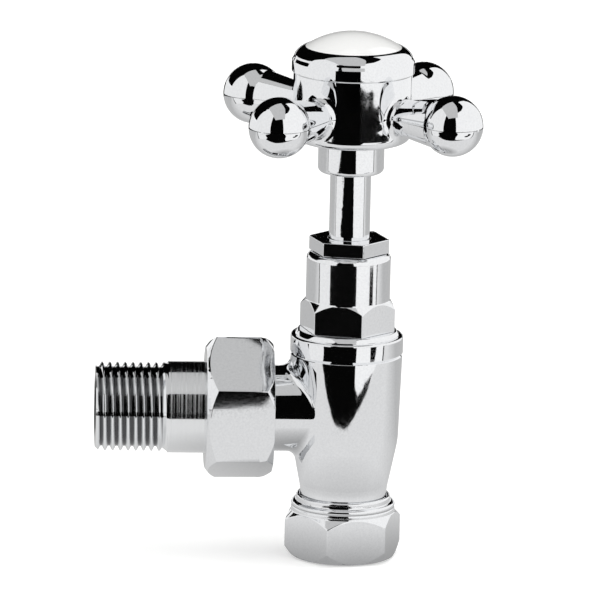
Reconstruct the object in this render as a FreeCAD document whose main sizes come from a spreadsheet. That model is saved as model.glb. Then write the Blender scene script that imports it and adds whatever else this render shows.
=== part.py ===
import FreeCAD, Part

import math
import os
import re

import Sketcher

# Crosshead angle radiator valve, in millimetres.
# The origin is the centre of the pipe inlet's mouth, +Z runs up the valve's axis and the
# branch with its radiator tail points along -X.
# Heights run up from the mouth, reaches run out along the branch from the valve's axis.
SIZES = {
    # Clearances, all radial or end play
    "thread_play": 0.06,
    "running_play": 0.08,
    "seating_play": 0.05,
    "stop_play": 0.1,
    # Compression joint for a 15 mm pipe
    "pipe_radius": 7.5,
    "pipe_play": 0.1,
    "pipe_depth": 18.0,
    "olive_end_wall": 0.55,
    "olive_wall": 1.35,
    "olive_land": 1.6,
    "olive_taper": 2.2,
    "inlet_foot_wall": 1.4,
    "inlet_wall": 1.79,
    "inlet_height": 14.85,
    "inlet_lip": 3.6,
    "inlet_foot_inset": 0.15,
    "inlet_foot_bevel": 2.8,
    "inlet_bevel": 2.05,
    "inlet_collar_inset": 0.05,
    "inlet_collar_height": 2.3,
    "inlet_collar_round": 0.7,
    "inlet_groove_rise": 1.05,
    "inlet_groove_depth": 0.22,
    "inlet_ring_wall": 0.69,
    "inlet_ring_height": 1.55,
    "inlet_ring_round": 0.65,
    "inlet_turn": 12.4,
    "inlet_thread_relief": 2.0,
    "thread_bevel": 0.6,
    # Vase-shaped body
    "neck_undercut": 0.25,
    "neck_band": 1.2,
    "neck_round": 14.0,
    "taper_length": 12.0,
    "hip_radius": 12.55,
    "hip_round": 20.0,
    "shoulder_rise": 1.15,
    "shoulder_radius": 13.15,
    "groove_depth": 0.35,
    "collar_radius": 13.25,
    "collar_height": 4.4,
    "collar_round": 0.5,
    "inlet_waterway": 5.4,
    "seat_width": 1.4,
    "seat_drop": 0.75,
    "seat_lip": 1.2,
    "chamber_step": 0.8,
    # Branch, union nut and radiator tail
    "branch_rise": 7.2,
    "branch_radius": 10.15,
    "branch_round": 2.4,
    "branch_reach": 28.2,
    "waterway_radius": 6.6,
    "union_thread_radius": 13.16,
    "union_thread_length": 10.0,
    "union_wall": 1.93,
    "union_length": 15.9,
    "union_lip": 3.0,
    "union_play": 0.25,
    "union_front_inset": 0.85,
    "union_front_bevel": 2.5,
    "union_back_bevel": 2.0,
    "union_turn": 4.3,
    "flange_play": 0.56,
    "flange_thickness": 1.8,
    "tail_radius": 10.8,
    "tail_plain": 8.8,
    "tail_thread_radius": 10.4775,
    "tail_thread_length": 17.0,
    "tail_thread_pitch": 1.814,
    "tail_thread_depth": 1.16,
    "tail_thread_crest": 0.25,
    "tail_thread_bevel": 0.9,
    "tail_bore": 6.0,
    "key_flats": 13.0,
    "key_depth": 14.0,
    "nose_radius": 8.9,
    "nose_length": 5.2,
    "nose_end_play": 0.4,
    "tail_ring_section": 0.6,
    "ring_groove_play": 0.08,
    # Bonnet and gland
    "bonnet_thread_radius": 9.0,
    "bonnet_reach": 9.2,
    "seal_depth": 1.7,
    "seal_step": 0.7,
    "bonnet_ring_section": 0.7,
    "bonnet_land": 0.2,
    "bonnet_flange_rise": 1.2,
    "bonnet_flange_edge": 0.2,
    "bonnet_flange_run": 1.4,
    "bonnet_flange_land": 0.1,
    "bonnet_hex_height": 8.5,
    "bonnet_bevel": 1.9,
    "bonnet_turn": 44.4,
    "barrel_length": 11.2,
    "barrel_round": 1.5,
    "packing_radius": 6.6,
    "packing_washer_height": 1.0,
    "packing_height": 2.6,
    "gland_ring_height": 0.8,
    "gland_nose": 1.8,
    "gland_floor": 2.2,
    "gland_gap": 0.1,
    "gland_flats": 16.5,
    "gland_height": 3.3,
    "gland_bevel_width": 0.3,
    "gland_bevel_height": 0.15,
    "gland_turn": 47.5,
    # Spindle and jumper valve
    "valve_lift": 5.0,
    "stem_radius": 4.8,
    "stem_show": 15.7,
    "spindle_thread_radius": 5.75,
    "spindle_foot_radius": 5.0,
    "spindle_foot_length": 5.0,
    "square_side": 6.6,
    "square_play": 0.1,
    "square_start": 3.0,
    "jumper_stem_radius": 2.5,
    "jumper_stem_length": 8.6,
    "jumper_stem_gap": 0.5,
    "jumper_plate_radius": 7.0,
    "jumper_plate_height": 2.0,
    "jumper_stud_radius": 1.5,
    "jumper_stud_end": 0.3,
    "washer_radius": 6.8,
    "washer_height": 2.5,
    "jumper_nut_flats": 5.5,
    "jumper_nut_height": 1.6,
    "snap_rise": 6.0,
    "snap_wire": 0.35,
    "snap_offset": 0.25,
    "snap_play": 0.1,
    # Crosshead handle, its screw and its index
    "boss_radius": 7.75,
    "boss_height": 7.3,
    "boss_round": 1.2,
    "hub_foot_radius": 13.3,
    "hub_top_radius": 13.9,
    "hub_height": 16.4,
    "hub_round": 2.4,
    "hub_floor": 3.5,
    "cavity_radius": 10.5,
    "arm_angle": 51.0,
    "arm_rise": 7.5,
    "arm_radius": 3.75,
    "arm_neck_step": 1.3,
    "ball_reach": 28.7,
    "ball_radius": 7.1,
    "arm_root_round": 1.8,
    "arm_neck_round": 1.5,
    "clamp_gap": 0.5,
    "screw_radius": 2.0,
    "screw_length": 12.0,
    "screw_gap": 1.0,
    "screw_head_radius": 3.6,
    "screw_head_height": 2.6,
    "screw_key_flats": 2.5,
    "screw_key_depth": 1.6,
    "spring_washer_radius": 3.7,
    "spring_washer_height": 0.9,
    "spring_washer_slit": 0.8,
    "bezel_rim": 3.05,
    "bezel_height": 6.1,
    "bezel_wall": 2.9,
    "bezel_wall_round": 1.6,
    "bezel_lip": 0.65,
    "bezel_lip_fall": 0.1,
    "bezel_lip_round": 0.7,
    "bezel_edge": 0.3,
    "bezel_floor": 2.2,
    "bezel_skirt": 5.0,
    "bezel_skirt_wall": 1.9,
    "index_radius": 11.25,
    "index_rise": 3.5,
    "index_edge_drop": 0.1,
    "index_dome_radius": 20.0,
}

# Places and fits worked out from the sizes above.
PLACES = {
    "pipe_bore": "pipe_radius + pipe_play",
    "olive_foot": "inlet_lip - olive_taper + seating_play",
    "body_foot": "inlet_lip + olive_land + 2 * seating_play",
    "inlet_thread_radius": "pipe_bore + olive_wall + seating_play + inlet_foot_wall",
    "inlet_thread_bore": "inlet_thread_radius + thread_play",
    "inlet_flats": "2 * (inlet_thread_bore + inlet_wall)",
    "inlet_corner": "inlet_flats / sqrt(3)",
    "inlet_foot_radius": "inlet_flats / 2 - inlet_foot_inset",
    "inlet_collar_radius": "inlet_flats / 2 - inlet_collar_inset",
    "inlet_ring_radius": "inlet_thread_bore + inlet_ring_wall",
    "inlet_ring_foot": "inlet_height - inlet_ring_height",
    "inlet_shoulder": "inlet_ring_foot - inlet_collar_height",
    "inlet_groove_level": "inlet_shoulder + inlet_groove_rise",
    "inlet_thread_end": "inlet_height - inlet_thread_relief",
    "neck_radius": "inlet_thread_radius - neck_undercut",
    "neck_top": "inlet_height + neck_band",
    "hip_level": "neck_top + taper_length",
    "branch_level": "hip_level + branch_rise",
    "groove_level": "branch_level + branch_radius + branch_round + shoulder_rise",
    "collar_top": "groove_level + collar_height",
    "seat_level": "branch_level - waterway_radius - seat_drop",
    "chamber_floor": "seat_level - seat_lip",
    "chamber_top": "collar_top - bonnet_reach",
    "chamber_radius": "bonnet_thread_radius - chamber_step",
    "seat_rim": "inlet_waterway + seat_width",
    "bonnet_bore": "bonnet_thread_radius + thread_play",
    "seal_radius": "bonnet_thread_radius + seal_step",
    "seal_level": "collar_top - seal_depth",
    "branch_thread_start": "branch_reach - union_thread_length",
    "nose_bore": "nose_radius + running_play",
    "nose_tip": "branch_reach - nose_length",
    "flange_end": "branch_reach + flange_thickness",
    "union_end": "flange_end + union_lip",
    "union_start": "union_end - union_length",
    "union_thread_bore": "union_thread_radius + thread_play",
    "union_flats": "2 * (union_thread_bore + union_wall)",
    "union_corner": "union_flats / sqrt(3)",
    "union_front_radius": "union_flats / 2 - union_front_inset",
    "flange_radius": "union_thread_radius - flange_play",
    "tail_shoulder": "union_end + tail_plain",
    "tail_end": "tail_shoulder + tail_thread_length",
    "thread_ring_reach": "tail_end - tail_thread_bevel - tail_thread_pitch / 2",
    "thread_ring_half": "(tail_thread_pitch - tail_thread_crest) / 2",
    "thread_ring_count": "floor((tail_thread_length - tail_thread_bevel) / tail_thread_pitch - 0.5)",
    "tail_ring_half": "tail_ring_section + ring_groove_play",
    "tail_ring_reach": "branch_reach - nose_length / 2",
    "tail_groove_root": "nose_radius - 2 * tail_ring_section",
    "bonnet_flats": "2 * (seal_radius + bonnet_land)",
    "bonnet_corner": "bonnet_flats / sqrt(3)",
    "barrel_radius": "bonnet_flats / 2",
    "bonnet_flange_top": "collar_top + bonnet_flange_rise",
    "bonnet_flange_radius": "bonnet_corner + bonnet_flange_land + bonnet_flange_run",
    "bonnet_hex_top": "collar_top + bonnet_hex_height",
    "barrel_top": "bonnet_hex_top + barrel_length",
    "gland_corner": "gland_flats / sqrt(3)",
    "gland_foot": "barrel_top + gland_gap",
    "gland_top": "gland_foot + gland_height",
    "gland_nose_foot": "gland_foot - gland_nose",
    "packing_top": "gland_nose_foot - gland_ring_height",
    "packing_foot": "packing_top - packing_height",
    "gland_seat": "packing_foot - packing_washer_height",
    "open_stop": "gland_seat - gland_floor",
    "stem_bore": "stem_radius + running_play",
    "gland_bore": "stem_bore + running_play",
    "bonnet_ring_radius": "seal_radius - bonnet_ring_section - ring_groove_play",
    "seal_root": "bonnet_ring_radius - bonnet_ring_section - ring_groove_play",
    "washer_foot": "seat_level + seating_play + valve_lift",
    "plate_foot": "washer_foot + washer_height",
    "plate_top": "plate_foot + jumper_plate_height",
    "spindle_foot": "plate_top + stop_play",
    "spindle_thread_foot": "spindle_foot + spindle_foot_length",
    "spindle_thread_top": "open_stop - stop_play",
    "jumper_stud_foot": "washer_foot - jumper_nut_height - jumper_stud_end",
    "jumper_bore": "jumper_stem_radius + running_play",
    "jumper_top": "plate_top + jumper_stem_length",
    "jumper_bore_top": "jumper_top + jumper_stem_gap",
    "snap_level": "spindle_foot + snap_rise",
    "snap_half": "snap_wire + snap_play",
    "snap_radius": "jumper_stem_radius + snap_offset",
    "snap_outer": "snap_radius + snap_half",
    "snap_inner": "snap_radius - snap_half",
    "boss_foot": "gland_top + stem_show",
    "square_foot": "boss_foot + square_start",
    "hub_foot": "boss_foot + boss_height",
    "hub_top": "hub_foot + hub_height",
    "cavity_floor": "hub_foot + hub_floor",
    "arm_level": "hub_foot + arm_rise",
    "arm_root_reach": "(cavity_radius + hub_foot_radius) / 2",
    "arm_neck_radius": "ball_radius - arm_neck_step",
    "arm_neck_reach": "ball_reach - sqrt(ball_radius * ball_radius - arm_neck_radius * arm_neck_radius)",
    "spindle_top": "cavity_floor - clamp_gap",
    "screw_seat": "cavity_floor + spring_washer_height",
    "screw_tip": "screw_seat - screw_length",
    "screw_hole": "screw_radius + thread_play",
    "bezel_skirt_radius": "cavity_radius - thread_play",
    "index_recess": "index_radius + seating_play",
    "bezel_radius": "index_recess + bezel_rim",
    "index_seat": "hub_top + bezel_floor",
    "bezel_top": "hub_top + bezel_height",
    "index_edge": "bezel_top - index_edge_drop",
    "index_top": "index_edge + index_rise",
}

doc = FreeCAD.newDocument("radiator_valve")
pieces = []


def bound(text):
    """The expression with every name tied to the sheet that holds it."""

    def tie(match):
        word = match.group()
        if word in SIZES:
            return "Sizes." + word
        if word in PLACES:
            return "Places." + word
        return word

    return re.sub(r"[a-z_]+", tie, str(text))


def fill_sheet(name, rows):
    """A sheet with one named cell for each row."""
    sheet = doc.addObject("Spreadsheet::Sheet", name)
    for line, (alias, content) in enumerate(rows, start=1):
        sheet.set(f"A{line}", alias)
        sheet.set(f"B{line}", content)
        sheet.setAlias(f"B{line}", alias)
    doc.recompute()
    return sheet


sizes = fill_sheet("Sizes", [(alias, str(number)) for alias, number in SIZES.items()])
fill_sheet("Places", [(alias, "=" + bound(text)) for alias, text in PLACES.items()])


def worth(text):
    """What an expression comes to, in millimetres or degrees."""
    return float(sizes.evalExpression(bound(text)))


def new_piece(label):
    """An empty body that becomes one piece of the valve."""
    body = doc.addObject("PartDesign::Body", label)
    body.Label = label
    pieces.append(body)
    return body


def new_sketch(body, name, role, lift=None, turn=None):
    """A sketch on one of the body's own planes, lifted along its normal and turned about it."""
    plane = [feature for feature in body.Origin.OriginFeatures if feature.Role == role][0]
    sketch = body.newObject("Sketcher::SketchObject", name)
    sketch.AttachmentSupport = [(plane, "")]
    sketch.MapMode = "FlatFace"
    if lift:
        sketch.setExpression(".AttachmentOffset.Base.z", bound(lift))
    if turn:
        sketch.setExpression(".AttachmentOffset.Rotation.Angle", bound(turn))
    return sketch


def tie_point(sketch, line, end, spot):
    """Ties one end of a line to a spot measured from the sketch's origin."""
    for kind, text in zip(("DistanceX", "DistanceY"), spot):
        number = sketch.addConstraint(Sketcher.Constraint(kind, -1, 1, line, end, worth(text)))
        sketch.setExpression(f"Constraints[{number}]", bound(text))


def corner_arc(previous, spot, following, radius):
    """Where the arc that rounds a corner begins and ends, the arc itself, and whether it turns left."""
    back = (previous - spot).normalize()
    ahead = (following - spot).normalize()
    half_angle = back.getAngle(ahead) / 2
    arrive = spot + back * (radius / math.tan(half_angle))
    leave = spot + ahead * (radius / math.tan(half_angle))
    centre = spot + (back + ahead).normalize() * (radius / math.sin(half_angle))
    turns_left = back.cross(ahead).z < 0
    ends = (arrive, leave) if turns_left else (leave, arrive)
    angles = [math.atan2(end.y - centre.y, end.x - centre.x) for end in ends]
    circle = Part.Circle(centre, FreeCAD.Vector(0, 0, 1), radius)
    return arrive, leave, Part.ArcOfCircle(circle, *angles), turns_left


def round_corner(sketch, before, after, arc_shape, turns_left, corner):
    """Joins two lines by an arc, with the point where the lines would meet tied to the sheets."""
    across, up, radius = corner
    arc = sketch.addGeometry(arc_shape, False)
    point = sketch.addGeometry(Part.Point(FreeCAD.Vector(worth(across), worth(up), 0)), True)
    begins, ends = (1, 2) if turns_left else (2, 1)
    sketch.addConstraint(Sketcher.Constraint("Tangent", before, 2, arc, begins))
    sketch.addConstraint(Sketcher.Constraint("Tangent", arc, ends, after, 1))
    sketch.addConstraint(Sketcher.Constraint("PointOnObject", point, 1, before))
    sketch.addConstraint(Sketcher.Constraint("PointOnObject", point, 1, after))
    tie_point(sketch, point, 1, (across, up))
    number = sketch.addConstraint(Sketcher.Constraint("Radius", arc, worth(radius)))
    sketch.setExpression(f"Constraints[{number}]", bound(radius))


def draw_outline(sketch, corners):
    """A closed run of lines with every corner tied to the sheets, rounded where a corner has a radius."""
    spots = [FreeCAD.Vector(worth(corner[0]), worth(corner[1]), 0) for corner in corners]
    following = spots[1:] + spots[:1]
    arrive = list(spots)
    leave = list(spots)
    arcs = {}
    for k, corner in enumerate(corners):
        if len(corner) == 3:
            arrive[k], leave[k], *arcs[k] = corner_arc(spots[k - 1], spots[k], following[k], worth(corner[2]))
    sides = zip(leave, arrive[1:] + arrive[:1])
    lines = [sketch.addGeometry(Part.LineSegment(start, end), False) for start, end in sides]
    for k, corner in enumerate(corners):
        if k in arcs:
            round_corner(sketch, lines[k - 1], lines[k], *arcs[k], corner)
        else:
            sketch.addConstraint(Sketcher.Constraint("Coincident", lines[k - 1], 2, lines[k], 1))
            tie_point(sketch, lines[k], 1, corner)


def draw_circle(sketch, radius):
    """A circle about the sketch's origin."""
    circle = sketch.addGeometry(Part.Circle(FreeCAD.Vector(), FreeCAD.Vector(0, 0, 1), worth(radius)), False)
    sketch.addConstraint(Sketcher.Constraint("Coincident", circle, 3, -1, 1))
    number = sketch.addConstraint(Sketcher.Constraint("Radius", circle, worth(radius)))
    sketch.setExpression(f"Constraints[{number}]", bound(radius))


def turned(body, name, corners, kind="Revolution"):
    """A half section, given as (radius, height) corners, turned about the body's Z axis."""
    sketch = new_sketch(body, name + "Section", "XZ_Plane")
    draw_outline(sketch, corners)
    feature = body.newObject("PartDesign::" + kind, name)
    feature.Profile = sketch
    feature.ReferenceAxis = (sketch, ["V_Axis"])
    feature.Angle = 360
    doc.recompute()
    return feature


def turned_branch(body, name, corners, kind="Revolution"):
    """A half section, given as (reach, radius) corners, turned about the branch's axis."""
    sketch = new_sketch(body, name + "Section", "XZ_Plane")
    draw_outline(sketch, [(f"-({reach})", f"branch_level + {radius}") for reach, radius in corners])
    ends = [("0", "branch_level"), ("-branch_reach", "branch_level")]
    spots = [FreeCAD.Vector(worth(x), worth(y), 0) for x, y in ends]
    axis = sketch.addGeometry(Part.LineSegment(*spots), True)
    for end, spot in enumerate(ends, start=1):
        tie_point(sketch, axis, end, spot)
    feature = body.newObject("PartDesign::" + kind, name)
    feature.Profile = sketch
    feature.ReferenceAxis = (sketch, ["Axis0"])
    feature.Angle = 360
    doc.recompute()
    return feature


def polygon_corners(sides, across):
    """The corners of a regular polygon with the given size across its flats."""
    step = 360 / sides
    corner = f"({across}) / 2 / cos({step / 2} deg)"
    return [(f"{corner} * cos({step * k} deg)", f"{corner} * sin({step * k} deg)") for k in range(sides)]


def cut(body, name, sketch, depth):
    """A pocket down from a sketch, which has to take material away."""
    before = body.Shape.Volume
    pocket = body.newObject("PartDesign::Pocket", name)
    pocket.Profile = sketch
    pocket.setExpression("Length", bound(depth))
    doc.recompute()
    if body.Shape.Volume >= before:
        raise RuntimeError(f"{body.Label}: {name} cut nothing")
    return pocket


def cut_flats(body, name, sides, across, blank, top, depth, turn=None):
    """Mills flats on a turned blank, from the height top downwards."""
    sketch = new_sketch(body, name + "Plan", "XY_Plane", top, turn)
    draw_outline(sketch, polygon_corners(sides, across))
    draw_circle(sketch, f"{blank} + ({across}) / 2")
    return cut(body, name, sketch, depth)


def cut_socket(body, name, sides, across, top, depth, turn=None):
    """A socket with flat sides, from the height top downwards."""
    sketch = new_sketch(body, name + "Plan", "XY_Plane", top, turn)
    draw_outline(sketch, polygon_corners(sides, across))
    return cut(body, name, sketch, depth)


def seam_edges(shape, wanted):
    """Names of the edges where two round forms run into each other, kept where wanted(edge) holds."""
    names = []
    for number, edge in enumerate(shape.Edges, start=1):
        if edge.Degenerated or isinstance(edge.Curve, (Part.Circle, Part.Line)):
            continue
        if wanted(edge):
            names.append(f"Edge{number}")
    return names


def rounded(body, name, radius, names):
    """A fillet on the named edges of the body's last feature."""
    fillet = body.newObject("PartDesign::Fillet", name)
    fillet.Base = (body.Tip if body.Tip != fillet else fillet.BaseFeature, names)
    fillet.setExpression("Radius", bound(radius))
    doc.recompute()
    return fillet


def lay_on_branch(piece):
    """Turns a piece drawn along +Z so that it lies along the branch, its heights becoming reaches."""
    turn = FreeCAD.Rotation(FreeCAD.Vector(0, 1, 0), -90)
    piece.Placement = FreeCAD.Placement(FreeCAD.Vector(), turn)
    piece.setExpression(".Placement.Base.z", bound("branch_level"))


def seal_ring(label, ring, section):
    """A round-section ring about Z, placed by its caller."""
    torus = doc.addObject("Part::Torus", label)
    torus.Label = label
    torus.setExpression("Radius1", bound(ring))
    torus.setExpression("Radius2", bound(section))
    pieces.append(torus)
    return torus


# Valve body: one forging, turned outside, with the branch growing out of the vase.
valve_body = new_piece("valve_body")
turned(valve_body, "Vase", [
    ("0", "body_foot"),
    ("inlet_thread_radius - thread_bevel", "body_foot"),
    ("inlet_thread_radius", "body_foot + thread_bevel"),
    ("inlet_thread_radius", "inlet_thread_end"),
    ("neck_radius", "inlet_thread_end"),
    ("neck_radius", "neck_top", "neck_round"),
    ("hip_radius", "hip_level", "hip_round"),
    ("shoulder_radius", "groove_level - groove_depth"),
    ("shoulder_radius - groove_depth", "groove_level"),
    ("collar_radius", "groove_level + groove_depth"),
    ("collar_radius", "collar_top", "collar_round"),
    ("0", "collar_top"),
])
turned_branch(valve_body, "Branch", [
    ("0", "0"),
    ("0", "branch_radius"),
    ("branch_thread_start", "branch_radius"),
    ("branch_thread_start", "union_thread_radius"),
    ("branch_reach - thread_bevel", "union_thread_radius"),
    ("branch_reach", "union_thread_radius - thread_bevel"),
    ("branch_reach", "0"),
])
# Only the saddle edge lies within the vase's radius of the axis and is neither ring nor line.
rounded(valve_body, "BranchRound", "branch_round", seam_edges(
    valve_body.Shape, lambda edge: edge.CenterOfMass.x < 0))
turned(valve_body, "InnerWay", [
    ("0", "body_foot"),
    ("pipe_bore + olive_wall + seating_play", "body_foot"),
    ("pipe_bore + olive_end_wall + seating_play", "body_foot + olive_taper"),
    ("pipe_bore", "body_foot + olive_taper"),
    ("pipe_bore", "pipe_depth"),
    ("inlet_waterway", "pipe_depth"),
    ("inlet_waterway", "seat_level"),
    ("seat_rim", "seat_level"),
    ("seat_rim", "chamber_floor"),
    ("chamber_radius", "chamber_floor"),
    ("chamber_radius", "chamber_top"),
    ("bonnet_bore", "chamber_top"),
    ("bonnet_bore", "seal_level"),
    ("seal_radius", "seal_level"),
    ("seal_radius", "collar_top"),
    ("0", "collar_top"),
], "Groove")
turned_branch(valve_body, "OutletWay", [
    ("0", "0"),
    ("0", "waterway_radius"),
    ("nose_tip - nose_end_play", "waterway_radius"),
    ("nose_tip - nose_end_play", "nose_bore"),
    ("branch_reach", "nose_bore"),
    ("branch_reach", "0"),
], "Groove")

# Compression nut: hexagon with a round stepped collar, closing on the olive with a coned lip.
compression_nut = new_piece("compression_nut")
turned(compression_nut, "Blank", [
    ("pipe_bore", "0"),
    ("inlet_foot_radius", "0"),
    ("inlet_corner", "inlet_foot_bevel"),
    ("inlet_corner", "inlet_shoulder - inlet_bevel"),
    ("inlet_collar_radius", "inlet_shoulder"),
    ("inlet_collar_radius", "inlet_groove_level - inlet_groove_depth"),
    ("inlet_collar_radius - inlet_groove_depth", "inlet_groove_level"),
    ("inlet_collar_radius", "inlet_groove_level + inlet_groove_depth"),
    ("inlet_collar_radius", "inlet_ring_foot", "inlet_collar_round"),
    ("inlet_ring_radius", "inlet_ring_foot"),
    ("inlet_ring_radius", "inlet_height", "inlet_ring_round"),
    ("inlet_thread_bore", "inlet_height"),
    ("inlet_thread_bore", "inlet_lip"),
    ("pipe_bore + olive_wall + seating_play", "inlet_lip"),
    ("pipe_bore + olive_end_wall + seating_play", "inlet_lip - olive_taper"),
    ("pipe_bore", "inlet_lip - olive_taper"),
])
cut_flats(compression_nut, "Flats", 6, "inlet_flats", "inlet_corner", "inlet_shoulder", "inlet_shoulder",
          "inlet_turn")

# Olive: brass ring with a cone at each end.
compression_olive = new_piece("compression_olive")
turned(compression_olive, "Ring", [
    ("pipe_bore", "olive_foot"),
    ("pipe_bore + olive_end_wall", "olive_foot"),
    ("pipe_bore + olive_wall", "olive_foot + olive_taper"),
    ("pipe_bore + olive_wall", "olive_foot + olive_taper + olive_land"),
    ("pipe_bore + olive_end_wall", "olive_foot + 2 * olive_taper + olive_land"),
    ("pipe_bore", "olive_foot + 2 * olive_taper + olive_land"),
])

# Union nut: large hexagon that draws the tail's flange onto the branch.
union_nut = new_piece("union_nut")
turned(union_nut, "Blank", [
    ("union_thread_bore", "union_start"),
    ("union_flats / 2", "union_start"),
    ("union_corner", "union_start + union_back_bevel"),
    ("union_corner", "union_end - union_front_bevel"),
    ("union_front_radius", "union_end"),
    ("tail_radius + union_play", "union_end"),
    ("tail_radius + union_play", "flange_end"),
    ("union_thread_bore", "flange_end"),
])
cut_flats(union_nut, "Flats", 6, "union_flats", "union_corner", "union_end", "union_length", "-union_turn")
lay_on_branch(union_nut)

# Radiator tail: turned tube with a sealing nose, a flange, a plain barrel and the radiator's thread.
radiator_tail = new_piece("radiator_tail")
turned(radiator_tail, "Tube", [
    ("tail_bore", "nose_tip"),
    ("nose_radius", "nose_tip"),
    ("nose_radius", "tail_ring_reach - tail_ring_half"),
    ("tail_groove_root", "tail_ring_reach - tail_ring_half"),
    ("tail_groove_root", "tail_ring_reach + tail_ring_half"),
    ("nose_radius", "tail_ring_reach + tail_ring_half"),
    ("nose_radius", "branch_reach"),
    ("flange_radius", "branch_reach"),
    ("flange_radius", "flange_end"),
    ("tail_radius", "flange_end"),
    ("tail_radius", "tail_shoulder"),
    ("tail_thread_radius", "tail_shoulder"),
    ("tail_thread_radius", "tail_end - tail_thread_bevel"),
    ("tail_thread_radius - tail_thread_bevel", "tail_end"),
    ("tail_bore", "tail_end"),
])
# The thread is drawn as rings, of its true pitch and depth. Each ring's section is drawn to twice
# the depth, so that it runs clear of the crest.
thread_ring = turned(radiator_tail, "ThreadRing", [
    ("tail_thread_radius - tail_thread_depth", "thread_ring_reach"),
    ("tail_thread_radius + tail_thread_depth", "thread_ring_reach - 2 * thread_ring_half"),
    ("tail_thread_radius + tail_thread_depth", "thread_ring_reach + 2 * thread_ring_half"),
], "Groove")
thread_rings = radiator_tail.newObject("PartDesign::LinearPattern", "ThreadRings")
thread_rings.Originals = [thread_ring]
thread_rings.Direction = (thread_ring.Profile[0], ["V_Axis"])
thread_rings.Reversed = True
thread_rings.setExpression("Length", bound("tail_thread_pitch * (thread_ring_count - 1)"))
thread_rings.setExpression("Occurrences", bound("thread_ring_count"))
radiator_tail.Tip = thread_rings
doc.recompute()
cut_socket(radiator_tail, "KeySocket", 6, "key_flats", "tail_end", "key_depth")
lay_on_branch(radiator_tail)

tail_o_ring = seal_ring("tail_o_ring", "tail_groove_root + tail_ring_section + ring_groove_play / 2",
                        "tail_ring_section - ring_groove_play / 2")
lay_on_branch(tail_o_ring)
tail_o_ring.setExpression(".Placement.Base.x", bound("-tail_ring_reach"))

# Bonnet: hexagon headwork on a coned flange, with the spindle's thread below and the stuffing box
# above.
bonnet = new_piece("bonnet")
turned(bonnet, "Blank", [
    ("spindle_thread_radius + thread_play", "chamber_top"),
    ("bonnet_thread_radius - thread_bevel", "chamber_top"),
    ("bonnet_thread_radius", "chamber_top + thread_bevel"),
    ("bonnet_thread_radius", "seal_level"),
    ("seal_root", "seal_level"),
    ("seal_root", "collar_top"),
    ("bonnet_flange_radius", "collar_top"),
    ("bonnet_flange_radius", "collar_top + bonnet_flange_edge"),
    ("bonnet_corner + bonnet_flange_land", "bonnet_flange_top"),
    ("bonnet_corner", "bonnet_flange_top"),
    ("bonnet_corner", "bonnet_hex_top - bonnet_bevel"),
    ("barrel_radius", "bonnet_hex_top"),
    ("barrel_radius", "barrel_top", "barrel_round"),
    ("packing_radius", "barrel_top"),
    ("packing_radius", "gland_seat"),
    ("stem_bore", "gland_seat"),
    ("stem_bore", "open_stop"),
    ("spindle_thread_radius + thread_play", "open_stop"),
])
cut_flats(bonnet, "Flats", 6, "bonnet_flats", "bonnet_corner", "bonnet_hex_top",
          "bonnet_hex_top - bonnet_flange_top", "bonnet_turn")

bonnet_o_ring = seal_ring("bonnet_o_ring", "bonnet_ring_radius", "bonnet_ring_section")
bonnet_o_ring.setExpression(".Placement.Base.z", bound("collar_top - seal_depth / 2"))

# Stuffing box: washer, packing and follower ring under the gland nut.
packing_stack = [
    ("packing_washer", "gland_seat", "packing_foot"),
    ("gland_packing", "packing_foot", "packing_top"),
    ("gland_ring", "packing_top", "gland_nose_foot"),
]
for label, foot, top in packing_stack:
    turned(new_piece(label), "Ring", [
        ("gland_bore", foot),
        ("packing_radius - seating_play", foot),
        ("packing_radius - seating_play", top),
        ("gland_bore", top),
    ])

gland_nut = new_piece("gland_nut")
turned(gland_nut, "Blank", [
    ("gland_bore", "gland_nose_foot"),
    ("packing_radius - thread_play", "gland_nose_foot"),
    ("packing_radius - thread_play", "gland_foot"),
    ("gland_corner", "gland_foot"),
    ("gland_corner", "gland_top - gland_bevel_height"),
    ("gland_corner - gland_bevel_width", "gland_top"),
    ("gland_bore", "gland_top"),
])
cut_flats(gland_nut, "Flats", 6, "gland_flats", "gland_corner", "gland_top", "gland_height", "gland_turn")

# Spindle: fully open, its threaded shoulder just under the bonnet's stop.
spindle = new_piece("spindle")
turned(spindle, "Rod", [
    ("0", "jumper_bore_top"),
    ("jumper_bore", "jumper_bore_top"),
    ("jumper_bore", "snap_level + snap_half"),
    ("snap_outer", "snap_level + snap_half"),
    ("snap_outer", "snap_level - snap_half"),
    ("jumper_bore", "snap_level - snap_half"),
    ("jumper_bore", "spindle_foot"),
    ("spindle_foot_radius", "spindle_foot"),
    ("spindle_foot_radius", "spindle_thread_foot"),
    ("spindle_thread_radius", "spindle_thread_foot"),
    ("spindle_thread_radius", "spindle_thread_top"),
    ("stem_radius", "spindle_thread_top"),
    ("stem_radius", "spindle_top"),
    ("screw_hole", "spindle_top"),
    ("screw_hole", "screw_tip - screw_gap"),
    ("0", "screw_tip - screw_gap"),
])
cut_flats(spindle, "Square", 4, "square_side", "stem_radius", "spindle_top", "spindle_top - square_foot",
          "arm_angle")

# Jumper valve: plate on a stem that hangs in the spindle's foot, with its washer and nut.
jumper_valve = new_piece("jumper_valve")
turned(jumper_valve, "Plate", [
    ("0", "jumper_stud_foot"),
    ("jumper_stud_radius", "jumper_stud_foot"),
    ("jumper_stud_radius", "plate_foot"),
    ("jumper_plate_radius", "plate_foot"),
    ("jumper_plate_radius", "plate_top"),
    ("jumper_stem_radius", "plate_top"),
    ("jumper_stem_radius", "snap_level - snap_half"),
    ("snap_inner", "snap_level - snap_half"),
    ("snap_inner", "snap_level + snap_half"),
    ("jumper_stem_radius", "snap_level + snap_half"),
    ("jumper_stem_radius", "jumper_top"),
    ("0", "jumper_top"),
])

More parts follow.
